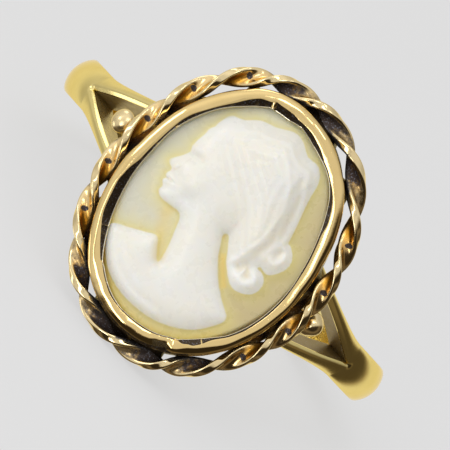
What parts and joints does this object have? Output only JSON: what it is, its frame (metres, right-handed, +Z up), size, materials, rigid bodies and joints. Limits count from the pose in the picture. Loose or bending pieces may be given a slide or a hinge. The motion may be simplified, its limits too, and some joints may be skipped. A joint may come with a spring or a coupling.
{
  "type": "cameo ring",
  "caption": "Finger ring: a band forked at the shoulders carries an oval collet edged with twisted flat wire, set with a carved shell cameo; it lies on its side.",
  "frame": {"origin": "on the table, under the middle of the ring as it lies on its side", "axes": "+Z up from the table; +X across the finger hole, from shoulder to shoulder; -Y the way the cameo faces, which it does tipped up by 17.4 degrees"},
  "size_m": [0.02, 0.0222, 0.0137],
  "materials": {
    "yellow_gold": "polished",
    "shell": "gloss"
  },
  "bodies": {
    "root": {"ring_mount": "yellow_gold", "cameo": "shell"}
  },
  "joints": []
}
